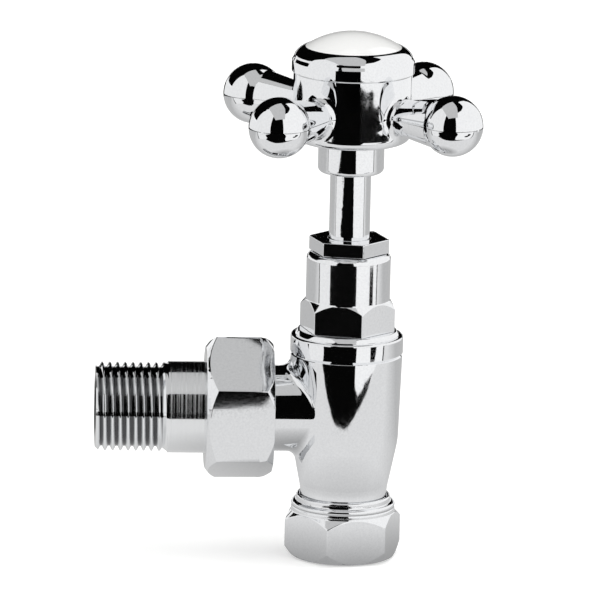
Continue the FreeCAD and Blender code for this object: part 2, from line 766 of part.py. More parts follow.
jumper_washer = new_piece("jumper_washer")
turned(jumper_washer, "Disc", [
    ("jumper_stud_radius + seating_play", "washer_foot"),
    ("washer_radius", "washer_foot"),
    ("washer_radius", "plate_foot"),
    ("jumper_stud_radius + seating_play", "plate_foot"),
])

jumper_nut = new_piece("jumper_nut")
turned(jumper_nut, "Blank", [
    ("jumper_stud_radius + thread_play", "washer_foot - jumper_nut_height"),
    ("jumper_nut_flats", "washer_foot - jumper_nut_height"),
    ("jumper_nut_flats", "washer_foot"),
    ("jumper_stud_radius + thread_play", "washer_foot"),
])
cut_flats(jumper_nut, "Flats", 6, "jumper_nut_flats", "jumper_nut_flats", "washer_foot", "jumper_nut_height")

jumper_snap_ring = seal_ring("jumper_snap_ring", "snap_radius", "snap_wire")
jumper_snap_ring.setExpression(".Placement.Base.z", bound("snap_level"))

# Crosshead handle: one casting of boss, hollow drum and four club arms with ball ends.
crosshead_handle = new_piece("crosshead_handle")
turned(crosshead_handle, "Hub", [
    ("stem_radius + running_play", "boss_foot"),
    ("boss_radius", "boss_foot", "boss_round"),
    ("boss_radius", "hub_foot"),
    ("hub_foot_radius", "hub_foot", "hub_round"),
    ("hub_top_radius", "hub_top"),
    ("cavity_radius", "hub_top"),
    ("cavity_radius", "cavity_floor"),
    ("screw_hole", "cavity_floor"),
    ("screw_hole", "square_foot"),
    ("stem_radius + running_play", "square_foot"),
])

arm_sketch = new_sketch(crosshead_handle, "ArmSection", "XZ_Plane")
ball_centre = FreeCAD.Vector(worth("ball_reach"), worth("arm_level"), 0)
ball_tip = ball_centre + FreeCAD.Vector(worth("ball_radius"), 0, 0)
root = FreeCAD.Vector(worth("arm_root_reach"), worth("arm_level"), 0)
root_edge = root + FreeCAD.Vector(0, worth("arm_radius"), 0)
neck_spot = ("arm_neck_reach", "arm_level + arm_neck_radius")
neck = FreeCAD.Vector(worth(neck_spot[0]), worth(neck_spot[1]), 0)
# The neck's small arc touches the straight shank on its outside and the ball from without.
along = (neck - root_edge).normalize()
outwards = FreeCAD.Vector(-along.y, along.x, 0)
spread = worth("ball_radius + arm_neck_round")
offset = root_edge + outwards * worth("arm_neck_round") - ball_centre
shank_length = -offset.dot(along) - math.sqrt(offset.dot(along) ** 2 - offset.Length ** 2 + spread ** 2)
shank_end = root_edge + along * shank_length
neck_centre = shank_end + outwards * worth("arm_neck_round")
ball_meet = ball_centre + (neck_centre - ball_centre).normalize() * worth("ball_radius")


def arc_between(centre, start, end):
    """The arc about a centre that runs anticlockwise from start to end."""
    circle = Part.Circle(centre, FreeCAD.Vector(0, 0, 1), (start - centre).Length)
    angles = [math.atan2(spot.y - centre.y, spot.x - centre.x) for spot in (start, end)]
    return Part.ArcOfCircle(circle, *angles)


axis_line = arm_sketch.addGeometry(Part.LineSegment(ball_tip, root), False)
root_line = arm_sketch.addGeometry(Part.LineSegment(root, root_edge), False)
shank_line = arm_sketch.addGeometry(Part.LineSegment(root_edge, shank_end), False)
neck_arc = arm_sketch.addGeometry(arc_between(neck_centre, shank_end, ball_meet), False)
ball_arc = arm_sketch.addGeometry(arc_between(ball_centre, ball_tip, ball_meet), False)
for line, after in ((axis_line, root_line), (root_line, shank_line)):
    arm_sketch.addConstraint(Sketcher.Constraint("Coincident", line, 2, after, 1))
arm_sketch.addConstraint(Sketcher.Constraint("Coincident", axis_line, 1, ball_arc, 1))
arm_sketch.addConstraint(Sketcher.Constraint("Tangent", shank_line, 2, neck_arc, 1))
arm_sketch.addConstraint(Sketcher.Constraint("Tangent", neck_arc, 2, ball_arc, 2))
tie_point(arm_sketch, axis_line, 1, ("ball_reach + ball_radius", "arm_level"))
tie_point(arm_sketch, root_line, 1, ("arm_root_reach", "arm_level"))
tie_point(arm_sketch, shank_line, 1, ("arm_root_reach", "arm_level + arm_radius"))
tie_point(arm_sketch, ball_arc, 3, ("ball_reach", "arm_level"))
neck_point = arm_sketch.addGeometry(Part.Point(neck), True)
arm_sketch.addConstraint(Sketcher.Constraint("PointOnObject", neck_point, 1, shank_line))
tie_point(arm_sketch, neck_point, 1, neck_spot)
neck_size = arm_sketch.addConstraint(Sketcher.Constraint("Radius", neck_arc, worth("arm_neck_round")))
arm_sketch.setExpression(f"Constraints[{neck_size}]", bound("arm_neck_round"))
arm_axis = arm_sketch.addGeometry(Part.LineSegment(root, ball_centre), True)
tie_point(arm_sketch, arm_axis, 1, ("arm_root_reach", "arm_level"))
tie_point(arm_sketch, arm_axis, 2, ("ball_reach", "arm_level"))
arm = crosshead_handle.newObject("PartDesign::Revolution", "Arm")
arm.Profile = arm_sketch
arm.ReferenceAxis = (arm_sketch, ["Axis0"])
arm.Angle = 360
arms = crosshead_handle.newObject("PartDesign::PolarPattern", "Arms")
arms.Originals = [arm]
arms.Axis = (arm_sketch, ["V_Axis"])
arms.Angle = 360
arms.Occurrences = 4
crosshead_handle.Tip = arms
doc.recompute()
rounded(crosshead_handle, "ArmRoots", "arm_root_round", seam_edges(crosshead_handle.Shape, lambda edge: True))
cut_socket(crosshead_handle, "SquareHole", 4, "square_side + square_play", "cavity_floor",
           "cavity_floor - square_foot")
crosshead_handle.setExpression(".Placement.Rotation.Angle", bound("arm_angle"))

# Handle screw with its spring washer, in the drum's cavity.
handle_screw = new_piece("handle_screw")
turned(handle_screw, "Blank", [
    ("0", "screw_tip"),
    ("screw_radius", "screw_tip"),
    ("screw_radius", "screw_seat"),
    ("screw_head_radius", "screw_seat"),
    ("screw_head_radius", "screw_seat + screw_head_height"),
    ("0", "screw_seat + screw_head_height"),
])
cut_socket(handle_screw, "KeySocket", 6, "screw_key_flats", "screw_seat + screw_head_height", "screw_key_depth")

screw_washer = new_piece("screw_washer")
turned(screw_washer, "Ring", [
    ("screw_hole", "cavity_floor"),
    ("spring_washer_radius", "cavity_floor"),
    ("spring_washer_radius", "screw_seat"),
    ("screw_hole", "screw_seat"),
])
slit = new_sketch(screw_washer, "SlitPlan", "XY_Plane", "screw_seat")
draw_outline(slit, [
    ("0", "-spring_washer_slit / 2"),
    ("spring_washer_radius * 2", "-spring_washer_slit / 2"),
    ("spring_washer_radius * 2", "spring_washer_slit / 2"),
    ("0", "spring_washer_slit / 2"),
])
cut(screw_washer, "Slit", slit, "spring_washer_height")

# Index bezel: screw cap with a coned shoulder, its skirt threaded into the drum.
index_bezel = new_piece("index_bezel")
turned(index_bezel, "Cap", [
    ("0", "hub_top"),
    ("bezel_skirt_radius - bezel_skirt_wall", "hub_top"),
    ("bezel_skirt_radius - bezel_skirt_wall", "hub_top - bezel_skirt"),
    ("bezel_skirt_radius", "hub_top - bezel_skirt"),
    ("bezel_skirt_radius", "hub_top"),
    ("bezel_radius - bezel_edge", "hub_top"),
    ("bezel_radius", "hub_top + bezel_edge"),
    ("bezel_radius", "hub_top + bezel_wall", "bezel_wall_round"),
    ("index_recess + bezel_lip", "bezel_top - bezel_lip_fall", "bezel_lip_round"),
    ("index_recess", "bezel_top"),
    ("index_recess", "index_seat"),
    ("0", "index_seat"),
])

# Porcelain index: thick disc with a gently domed face.
index_disc = doc.addObject("Part::Cylinder", "IndexDisc")
index_disc.setExpression("Radius", bound("index_radius"))
index_disc.setExpression("Height", bound("index_top - index_seat"))
index_disc.setExpression(".Placement.Base.z", bound("index_seat"))
index_dome = doc.addObject("Part::Sphere", "IndexDome")
index_dome.setExpression("Radius", bound("index_dome_radius"))
index_dome.setExpression(".Placement.Base.z", bound("index_top - index_dome_radius"))
porcelain_index = doc.addObject("Part::Common", "porcelain_index")
porcelain_index.Label = "porcelain_index"
porcelain_index.Base = index_disc
porcelain_index.Tool = index_dome
pieces.append(porcelain_index)
doc.recompute()

for thing in doc.Objects:
    if "Invalid" in thing.State or "Error" in thing.State:
        raise RuntimeError(f"{thing.Label} failed: {thing.State}")
for piece in pieces:
    if piece.Shape.isNull() or not piece.Shape.isValid():
        raise RuntimeError(f"{piece.Label} has no sound shape")

os.makedirs("parts", exist_ok=True)
for piece in pieces:
    piece.Shape.exportStep(f"parts/{piece.Label}.step")
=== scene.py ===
import math

import bmesh
import bpy
from mathutils import Matrix, Vector


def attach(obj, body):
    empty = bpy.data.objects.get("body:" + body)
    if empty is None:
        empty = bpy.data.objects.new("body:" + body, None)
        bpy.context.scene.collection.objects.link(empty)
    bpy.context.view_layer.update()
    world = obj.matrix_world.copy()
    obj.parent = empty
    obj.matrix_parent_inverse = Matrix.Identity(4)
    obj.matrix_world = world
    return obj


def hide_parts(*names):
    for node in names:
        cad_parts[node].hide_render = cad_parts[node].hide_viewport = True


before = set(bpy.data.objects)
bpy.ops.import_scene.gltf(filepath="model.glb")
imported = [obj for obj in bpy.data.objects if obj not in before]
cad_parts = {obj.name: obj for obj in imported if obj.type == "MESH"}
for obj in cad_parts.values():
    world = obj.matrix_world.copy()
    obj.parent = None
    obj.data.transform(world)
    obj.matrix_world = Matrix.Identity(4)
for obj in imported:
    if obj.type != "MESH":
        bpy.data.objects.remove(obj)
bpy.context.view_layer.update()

# Valve body: a hot brass forging with the branch grown into its side, turned, buffed and
# chromium plated. The solid already has its saddle round and collar, so it stays and gets the
# plating.
MM = 0.001


def linear(colour):
    """Linear colour, with alpha, of an sRGB hex value."""
    channels = [int(colour[k : k + 2], 16) / 255 for k in (1, 3, 5)]
    return [c / 12.92 if c <= 0.04045 else ((c + 0.055) / 1.055) ** 2.4 for c in channels] + [1.0]


def add_node(tree, kind, settings=None, inputs=None):
    """A shader node with its settings, and its sockets set or linked."""
    node = tree.nodes.new(kind)
    for name, value in (settings or {}).items():
        setattr(node, name, value)
    for name, value in (inputs or {}).items():
        if isinstance(value, bpy.types.NodeSocket):
            tree.links.new(value, node.inputs[name])
        else:
            node.inputs[name].default_value = value
    return node


def new_material(name):
    """An empty node material: itself, its tree, its surface socket and the piece's own coordinates."""
    material = bpy.data.materials.new(name)
    material.use_nodes = True
    tree = material.node_tree
    tree.nodes.clear()
    output = add_node(tree, "ShaderNodeOutputMaterial")
    place = add_node(tree, "ShaderNodeTexCoord")
    return material, tree, output.inputs["Surface"], place.outputs["Object"]


def buffed_chrome(name, wave, depth, gloss):
    """Bright chromium plate with buffing waves of a length and depth in mm, and a span of roughness."""
    material, tree, surface, place = new_material(name)
    waves = add_node(tree, "ShaderNodeTexNoise", inputs={
        "Vector": place, "Scale": 1 / (wave * MM), "Detail": 1.0})
    relief = add_node(tree, "ShaderNodeBump", inputs={
        "Height": waves.outputs["Fac"], "Distance": depth * MM})
    haze_size = 0.5
    haze = add_node(tree, "ShaderNodeTexNoise", inputs={
        "Vector": place, "Scale": 1 / (haze_size * MM), "Detail": 3.0})
    rough = add_node(tree, "ShaderNodeMapRange", inputs={
        "Value": haze.outputs["Fac"], "From Min": 0.3, "From Max": 0.7,
        "To Min": gloss[0], "To Max": gloss[1]})
    tone = add_node(tree, "ShaderNodeMix", {"data_type": "RGBA"}, {
        "Factor": haze.outputs["Fac"], "A": linear("#F7F8F9"), "B": linear("#E6E7E9")})
    shader = add_node(tree, "ShaderNodeBsdfPrincipled", inputs={
        "Base Color": tone.outputs["Result"], "Metallic": 1.0, "Roughness": rough.outputs["Result"],
        "Normal": relief.outputs["Normal"]})
    tree.links.new(shader.outputs["BSDF"], surface)
    return material


def plate(node, material):
    """Gives a CAD node its finished material."""
    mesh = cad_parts[node].data
    mesh.materials.clear()
    mesh.materials.append(material)


# Long soft waves in a mirror: reflections keep their edge, and that edge wanders a little.
forged_chrome = buffed_chrome("ChromeOnForgedBrass", wave=7.0, depth=0.012, gloss=(0.02, 0.05))
plate("valve_body", forged_chrome)

# Compression nut and olive: a hexagon of hot-stamped brass with a turned stepped collar, plated,
# and the bare brass ring that it squeezes on the pipe.
inlet_bore = 7.6
inlet_foot_radius = 12.1
inlet_foot_round = 0.9
inlet_foot_cone = 2.8
inlet_flats = 24.5
inlet_corner = inlet_flats / math.sqrt(3)
inlet_turn = 12.4
inlet_hexagon_top = 8.95
inlet_collar_radius = 12.2
inlet_collar_foot = 11.0
inlet_collar_top = 13.3
inlet_collar_round = 0.7
inlet_groove_level = 12.05
inlet_groove_depth = 0.22
inlet_step_radius = 11.15
inlet_step_round = 0.65
inlet_top = 14.85
inlet_thread_radius = 10.46
inlet_thread_floor = 3.6
olive_seat_radius = 9.0
olive_cone_radius = 8.2
olive_cone_foot = 1.4
inlet_edge_round = 0.22

# How finely shapes are turned and rounded, how near points count as one, and what counts as sharp.
lathe_steps = 180
round_steps = 6
edge_steps = 3
cut_play = 0.0001
weld_gap = 0.01
sliver = 0.005
ridge_rise = 0.99
sharp_turn = 40


def turned(corners, closed=True):
    """A mesh turned about Z from corners in mm: radius, height and, on a rounded corner, its width."""
    shape = bmesh.new()
    points = [shape.verts.new((corner[0] * MM, 0, corner[1] * MM)) for corner in corners]
    for start, end in zip(points, points[1:] + points[:1] if closed else points[1:]):
        shape.edges.new((start, end))
    for point, corner in zip(points, corners):
        if len(corner) > 2:
            bmesh.ops.bevel(shape, geom=[point], offset=corner[2] * MM, offset_type="OFFSET",
                            segments=round_steps, profile=0.5, affect="VERTICES", material=-1)
    bmesh.ops.spin(shape, geom=shape.verts[:] + shape.edges[:], cent=(0, 0, 0), axis=(0, 0, 1),
                   angle=math.tau, steps=lathe_steps, use_merge=True)
    bmesh.ops.recalc_face_normals(shape, faces=shape.faces)
    return shape


def weld(shape):
    """Closes up slivers and doubled points that cutting leaves behind."""
    bmesh.ops.remove_doubles(shape, verts=shape.verts, dist=weld_gap * MM)
    bmesh.ops.dissolve_degenerate(shape, edges=shape.edges, dist=sliver * MM)


def mill_hexagon(shape, across, turn, level=0, lean=0):
    """Mills six flats whose corners start at the turn; from a level down they lean in, in degrees."""
    for side in range(6):
        angle = math.radians(turn + 30 + 60 * side)
        outwards = Vector((math.cos(angle), math.sin(angle), 0))
        spot = outwards * across / 2 + Vector((0, 0, level))
        facing = outwards - Vector((0, 0, math.tan(math.radians(lean))))
        parts = shape.verts[:] + shape.edges[:] + shape.faces[:]
        sawn = bmesh.ops.bisect_plane(shape, geom=parts, dist=cut_play * MM, plane_co=spot * MM,
                                      plane_no=facing, clear_outer=True)
        sawn_edges = [part for part in sawn["geom_cut"] if isinstance(part, bmesh.types.BMEdge)]
        bmesh.ops.edgeloop_fill(shape, edges=sawn_edges)
    weld(shape)


def soften(shape, width, sharpest=26, ridges_only=False):
    """Rounds every edge that turns by more than the given degrees, or only those that run along Z."""
    edges = []
    for edge in shape.edges:
        sharp = edge.is_manifold and edge.calc_face_angle() > math.radians(sharpest)
        rise = abs(edge.verts[0].co.z - edge.verts[1].co.z)
        if sharp and (not ridges_only or rise > ridge_rise * edge.calc_length()):
            edges.append(edge)
    bmesh.ops.bevel(shape, geom=edges, offset=width * MM, offset_type="OFFSET", segments=edge_steps,
                    profile=0.5, affect="EDGES", clamp_overlap=False, material=-1)
    bmesh.ops.recalc_face_normals(shape, faces=shape.faces)


def finish_piece(shape, name, body, material, stands_for):
    """Turns the mesh into a smooth piece that rides on its body in place of a CAD node."""
    mesh = bpy.data.meshes.new(name)
    shape.to_mesh(mesh)
    shape.free()
    mesh.shade_smooth()
    mesh.set_sharp_from_angle(angle=math.radians(sharp_turn))
    mesh.materials.append(material)
    piece = bpy.data.objects.new(name, mesh)
    bpy.context.scene.collection.objects.link(piece)
    even = piece.modifiers.new("EvenNormals", "WEIGHTED_NORMAL")
    even.keep_sharp = True
    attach(piece, body)
    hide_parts(stands_for)


# Short shallow waves from the flat polishing wheel.
stamped_chrome = buffed_chrome("ChromeOnStampedBrass", wave=3.5, depth=0.005, gloss=(0.04, 0.09))
inlet_nut = turned([
    (inlet_bore, 0),
    (inlet_foot_radius, 0, inlet_foot_round),
    (inlet_corner, inlet_foot_cone),
    (inlet_corner, inlet_hexagon_top),
    (inlet_collar_radius, inlet_collar_foot),
    (inlet_collar_radius, inlet_groove_level - inlet_groove_depth),
    (inlet_collar_radius - inlet_groove_depth, inlet_groove_level),
    (inlet_collar_radius, inlet_groove_level + inlet_groove_depth),
    (inlet_collar_radius, inlet_collar_top, inlet_collar_round),
    (inlet_step_radius, inlet_collar_top),
    (inlet_step_radius, inlet_top, inlet_step_round),
    (inlet_thread_radius, inlet_top),
    (inlet_thread_radius, inlet_thread_floor),
    (olive_seat_radius, inlet_thread_floor),
    (olive_cone_radius, olive_cone_foot),
    (inlet_bore, olive_cone_foot),
])
mill_hexagon(inlet_nut, inlet_flats, inlet_turn)
soften(inlet_nut, inlet_edge_round)
finish_piece(inlet_nut, "inlet_nut", "valve_body", stamped_chrome, "compression_nut")


def turned_brass(name, colour, groove):
    """Bare brass straight from the lathe, with fine rings of the given spacing, in mm."""
    material, tree, surface, place = new_material(name)
    split = add_node(tree, "ShaderNodeSeparateXYZ", inputs={"Vector": place})
    rings = add_node(tree, "ShaderNodeTexNoise", {"noise_dimensions": "1D"}, {
        "W": split.outputs["Z"], "Scale": 1 / (groove * MM), "Detail": 2.0})
    ring_depth = 0.01
    relief = add_node(tree, "ShaderNodeBump", inputs={
        "Height": rings.outputs["Fac"], "Distance": ring_depth * MM})
    tarnish_size = 4
    tarnish = add_node(tree, "ShaderNodeTexNoise", inputs={
        "Vector": place, "Scale": 1 / (tarnish_size * MM), "Detail": 4.0})
    tint = add_node(tree, "ShaderNodeMix", {"data_type": "RGBA"}, {
        "Factor": tarnish.outputs["Fac"], "A": linear(colour), "B": linear("#A8803F")})
    shader = add_node(tree, "ShaderNodeBsdfPrincipled", inputs={
        "Base Color": tint.outputs["Result"], "Metallic": 1.0, "Roughness": 0.28,
        "Normal": relief.outputs["Normal"]})
    tree.links.new(shader.outputs["BSDF"], surface)
    return material


# Yellow metal with fine lathe rings and a little tarnish.
olive_brass = turned_brass("LatheTurnedBrass", "#D2AE62", groove=0.2)
plate("compression_olive", olive_brass)

# Union nut: a large hexagon of stamped brass, plated, that hangs on the tail's flange and draws it
# to the branch. Both ends are coned on the lathe, so each flat ends in an arc. Polishing has left
# the flats a little crowned, and their ends towards the body lean in.
branch_level = 35.25
union_flats = 30.3
union_corner = union_flats / math.sqrt(3)
union_turn = 4.3
union_bore = 13.22
union_back = 17.1
union_back_radius = 15.1
union_back_cone = 2.0
union_front = 33.0
union_front_radius = 14.3
union_front_cone = 2.5
union_lip_bore = 11.05
union_lip = 3.0
rolled_length = 3.3
rolled_start = union_back + rolled_length
rolled_lean = 9
crease_width = 0.2
ridge_round = 0.6
union_edge_round = 0.15
crown_fall = 0.16
crown_start = union_bore + 1
crown_lines = (-0.75, -0.5, -0.25, 0.25, 0.5, 0.75)


def lies_at(edge, level):
    """Whether both ends of an edge are at one height, in mm."""
    return all(abs(vert.co.z / MM - level) < weld_gap for vert in edge.verts)


def lay_on_branch(shape):
    """Turns a mesh made along +Z so that it runs out along the branch."""
    place = Matrix.Translation((0, 0, branch_level * MM)) @ Matrix.Rotation(math.radians(-90), 4, "Y")
    bmesh.ops.transform(shape, matrix=place, verts=shape.verts)


union = turned([
    (union_bore, union_back),
    (union_back_radius, union_back),
    (union_corner, union_back + union_back_cone),
    (union_corner, union_front - union_front_cone),
    (union_front_radius, union_front),
    (union_lip_bore, union_front),
    (union_lip_bore, union_front - union_lip),
    (union_bore, union_front - union_lip),
])
mill_hexagon(union, union_flats, -union_turn)
mill_hexagon(union, union_flats, -union_turn, rolled_start, rolled_lean)
crease = [edge for edge in union.edges if lies_at(edge, rolled_start)]
bmesh.ops.bevel(union, geom=crease, offset=crease_width * MM, offset_type="OFFSET", segments=1,
                profile=0.5, affect="EDGES", clamp_overlap=False, material=-1)
soften(union, ridge_round, ridges_only=True)
weld(union)
soften(union, union_edge_round)
weld(union)
for side in range(3):
    angle = math.radians(60 * side - union_turn)
    along = Vector((math.cos(angle), math.sin(angle), 0))
    for share in crown_lines:
        parts = union.verts[:] + union.edges[:] + union.faces[:]
        bmesh.ops.bisect_plane(union, geom=parts, dist=sliver * MM,
                               plane_co=along * union_corner / 2 * share * MM, plane_no=along)
for vert in union.verts:
    reach = vert.co.xy.length / MM
    if reach > crown_start:
        bearing = math.degrees(math.atan2(vert.co.y, vert.co.x)) + union_turn
        aside = math.tan(math.radians(bearing % 60 - 30)) / math.tan(math.radians(30))
        vert.co.xy *= 1 - crown_fall * aside**2 / reach
lay_on_branch(union)
finish_piece(union, "union_hexagon", "valve_body", stamped_chrome, "union_nut")

# Radiator tail: a brass tube turned from bar, plated, with a nose that holds a rubber ring, a
# flange, a plain barrel that keeps its lathe rings, and a half-inch pipe thread cut on its end. A
# hexagon socket in that end takes the key that screws it into the radiator.
tail_bore = 6.0
nose_start = 23.0
nose_radius = 8.9
nose_round = 0.4
seal_groove_radius = 7.7
seal_groove_start = 24.92
seal_groove_end = 26.28
tail_flange_radius = 12.6
tail_flange_start = 28.2
tail_flange_end = 30.0
tail_barrel_radius = 10.8
thread_pitch = 1.814
thread_crest = 10.4775
thread_depth = 1.162
thread_root = thread_crest - thread_depth
thread_start = 41.8
thread_end = 58.8
thread_bevel = 0.9
thread_runout = 1.7
thread_turn_steps = 96
thread_weld = 0.002
thread_cut_play = 0.00001
root_round = 0.2
crest_round = 0.167
flank_end = 0.05
key_flats = 13.0
key_corner = key_flats / math.sqrt(3)
key_floor = 44.8

tail = turned([
    (tail_bore, key_floor),
    (tail_bore, nose_start),
    (nose_radius, nose_start, nose_round),
    (nose_radius, seal_groove_start),
    (seal_groove_radius, seal_groove_start),
    (seal_groove_radius, seal_groove_end),
    (nose_radius, seal_groove_end),
    (nose_radius, tail_flange_start),
    (tail_flange_radius, tail_flange_start),
    (tail_flange_radius, tail_flange_end),
    (tail_barrel_radius, tail_flange_end),
    (tail_barrel_radius, thread_start),
], closed=False)

# One tooth, as rise along the tail and share of the thread's depth. It is spun into a helix that is
# too long at either end, and both ends are then cut square.
tooth = [
    (0, 0),
    (root_round, flank_end),
    (thread_pitch / 2 - crest_round, 1 - flank_end),
    (thread_pitch / 2, 1),
    (thread_pitch / 2 + crest_round, 1 - flank_end),
    (thread_pitch - root_round, flank_end),
    (thread_pitch, 0),
]
thread = bmesh.new()
turns = math.ceil((thread_end - thread_start) / thread_pitch) + 2
points = []
for rise, share in tooth:
    radius = thread_root + thread_depth * share
    points.append(thread.verts.new((radius * MM, 0, (thread_start - thread_pitch + rise) * MM)))
for start, end in zip(points, points[1:]):
    thread.edges.new((start, end))
bmesh.ops.spin(thread, geom=thread.verts[:] + thread.edges[:], cent=(0, 0, 0), axis=(0, 0, 1),
               dvec=(0, 0, thread_pitch / thread_turn_steps * MM), angle=math.tau * turns,
               steps=thread_turn_steps * turns)
bmesh.ops.remove_doubles(thread, verts=thread.verts, dist=thread_weld * MM)
for level, outwards in ((thread_start, -1), (thread_end, 1)):
    parts = thread.verts[:] + thread.edges[:] + thread.faces[:]
    bmesh.ops.bisect_plane(thread, geom=parts, dist=thread_cut_play * MM, plane_co=(0, 0, level * MM),
                           plane_no=(0, 0, outwards), clear_outer=True)
for vert in thread.verts:
    reach = vert.co.z / MM
    radius = vert.co.xy.length / MM
    fade = min(1.0, max(0.0, (reach - thread_start) / thread_runout))
    lowest = thread_crest - thread_depth * fade
    highest = thread_crest - max(0.0, reach - thread_end + thread_bevel)
    vert.co.xy *= min(max(radius, lowest), highest) / radius


def join(shape, other):
    """Adds another mesh to a shape."""
    mesh = bpy.data.meshes.new("joined")
    other.to_mesh(mesh)
    other.free()
    shape.from_mesh(mesh)
    bpy.data.meshes.remove(mesh)


join(tail, thread)

socket_place = Matrix.Translation((0, 0, key_floor * MM)) @ Matrix.Rotation(math.radians(90), 4, "Z")
socket = bmesh.ops.create_circle(tail, segments=6, radius=key_corner * MM, matrix=socket_place)
socket_rim = [edge for edge in tail.edges if all(vert in socket["verts"] for vert in edge.verts)]
walls = bmesh.ops.extrude_edge_only(tail, edges=socket_rim)
raised = [part for part in walls["geom"] if isinstance(part, bmesh.types.BMVert)]
bmesh.ops.translate(tail, vec=(0, 0, (thread_end - key_floor) * MM), verts=raised)
for level in (thread_start, key_floor, thread_end):
    open_edges = [edge for edge in tail.edges if edge.is_boundary and lies_at(edge, level)]
    bmesh.ops.triangle_fill(tail, use_beauty=True, edges=open_edges, normal=(0, 0, 1))
bmesh.ops.recalc_face_normals(tail, faces=tail.faces)
lay_on_branch(tail)


def lathe_chrome(name, groove, gloss):
    """Chromium over bare lathe work: rings of the given spacing in mm, some bright and some dull."""
    material, tree, surface, place = new_material(name)
    split = add_node(tree, "ShaderNodeSeparateXYZ", inputs={"Vector": place})
    rings = add_node(tree, "ShaderNodeTexNoise", {"noise_dimensions": "1D"}, {
        "W": split.outputs["X"], "Scale": 1 / (groove * MM), "Detail": 2.0})
    ring_rough = add_node(tree, "ShaderNodeMapRange", inputs={
        "Value": rings.outputs["Fac"], "From Min": 0.35, "From Max": 0.65,
        "To Min": gloss[0], "To Max": gloss[1]})
    across = add_node(tree, "ShaderNodeVectorMath", {"operation": "MULTIPLY_ADD"}, {
        0: place, 1: (0, 1, 1), 2: (0, 0, -branch_level * MM)})
    radius = add_node(tree, "ShaderNodeVectorMath", {"operation": "LENGTH"}, {0: across.outputs["Vector"]})
    rings_from = thread_crest + 0.05
    rings_to = thread_crest + 0.2
    barrel = add_node(tree, "ShaderNodeMapRange", inputs={
        "Value": radius.outputs["Value"], "From Min": rings_from * MM, "From Max": rings_to * MM})
    thread_rough = 0.06
    rough = add_node(tree, "ShaderNodeMix", inputs={
        "Factor": barrel.outputs["Result"], "A": thread_rough, "B": ring_rough.outputs["Result"]})
    round_branch = add_node(tree, "ShaderNodeTangent", {"direction_type": "RADIAL", "axis": "X"})
    # Painted shade: the base colour goes dark in the thread roots, where shade falls, and light on the
    # crests.
    root_shade_end = thread_root + 0.35
    root_shade_mask = add_node(tree, "ShaderNodeMapRange", inputs={
        "Value": radius.outputs["Value"], "From Min": thread_root * MM, "From Max": root_shade_end * MM})
    plated = add_node(tree, "ShaderNodeMix", {"data_type": "RGBA"}, {
        "Factor": root_shade_mask.outputs["Result"], "A": linear("#3C3D3F"), "B": linear("#F1F2F3")})
    shader = add_node(tree, "ShaderNodeBsdfPrincipled", inputs={
        "Base Color": plated.outputs["Result"], "Metallic": 1.0, "Roughness": rough.outputs["Result"],
        "Anisotropic": 0.95, "Anisotropic Rotation": 0.25, "Tangent": round_branch.outputs["Tangent"]})
    tree.links.new(shader.outputs["BSDF"], surface)
    return material


# Rings that draw each reflection out along the barrel, coarser than real ones so that they show,
# and painted shade that darkens the roots between the crests of the thread.
tail_chrome = lathe_chrome("ChromeOnTurnedBrass", groove=0.5, gloss=(0.05, 0.26))
finish_piece(tail, "threaded_tail", "valve_body", tail_chrome, "radiator_tail")


def moulded(name, colour, grain, roughness):
    """A dull moulded material with a fine grain of the given size, in mm."""
    material, tree, surface, place = new_material(name)
    specks = add_node(tree, "ShaderNodeTexNoise", inputs={
        "Vector": place, "Scale": 1 / (grain * MM), "Detail": 4.0})
    grain_depth = 0.02
    relief = add_node(tree, "ShaderNodeBump", inputs={
        "Height": specks.outputs["Fac"], "Distance": grain_depth * MM})
    spread = 0.1
    bloom = add_node(tree, "ShaderNodeMapRange", inputs={
        "Value": specks.outputs["Fac"], "To Min": roughness - spread, "To Max": roughness + spread})
    shader = add_node(tree, "ShaderNodeBsdfPrincipled", inputs={
        "Base Color": linear(colour), "Roughness": bloom.outputs["Result"],
        "Normal": relief.outputs["Normal"]})
    tree.links.new(shader.outputs["BSDF"], surface)
    return material


# Black rubber with a faint bloom.
seal_rubber = moulded("NitrileRubber", "#1B1B1D", grain=0.3, roughness=0.7)
plate("tail_o_ring", seal_rubber)

# Bonnet: the brass headwork that screws into the collar on its own rubber ring, plated. A hexagon
# takes the spanner, on a coned flange, and a plain barrel above it holds the stuffing box.
bonnet_flats = 19.8
bonnet_corner = bonnet_flats / math.sqrt(3)
bonnet_turn = 44.4
bonnet_foot = 44.15
bonnet_foot_bevel = 0.6
bonnet_thread_radius = 9.0
bonnet_thread_top = 51.65
bonnet_neck_radius = 8.14
collar_top = 53.35
flange_top = 54.55
flange_radius = 12.3
flange_bore = 7.6
flange_edge = 0.1
flange_cone = 0.75
hexagon_top = 61.85
hexagon_cone = 1.9
barrel_radius = 9.88
barrel_top = 73.05
barrel_round = 1.5
packing_radius = 6.6
packing_floor = 66.95
stem_bore = 4.88
stem_thread_radius = 5.81
stem_thread_top = 64.75
bonnet_edge_round = 0.2

bonnet = turned([
    (stem_thread_radius, bonnet_foot),
    (bonnet_thread_radius - bonnet_foot_bevel, bonnet_foot),
    (bonnet_thread_radius, bonnet_foot + bonnet_foot_bevel),
    (bonnet_thread_radius, bonnet_thread_top),
    (bonnet_neck_radius, bonnet_thread_top),
    (bonnet_neck_radius, flange_top),
    (bonnet_corner, flange_top),
    (bonnet_corner, hexagon_top - hexagon_cone),
    (barrel_radius, hexagon_top),
    (barrel_radius, barrel_top, barrel_round),
    (packing_radius, barrel_top),
    (packing_radius, packing_floor),
    (stem_bore, packing_floor),
    (stem_bore, stem_thread_top),
    (stem_thread_radius, stem_thread_top),
])
mill_hexagon(bonnet, bonnet_flats, bonnet_turn)
join(bonnet, turned([
    (flange_bore, collar_top),
    (flange_radius, collar_top),
    (flange_radius, collar_top + flange_edge),
    (flange_radius - flange_cone, flange_top),
    (flange_bore, flange_top),
]))
soften(bonnet, bonnet_edge_round)
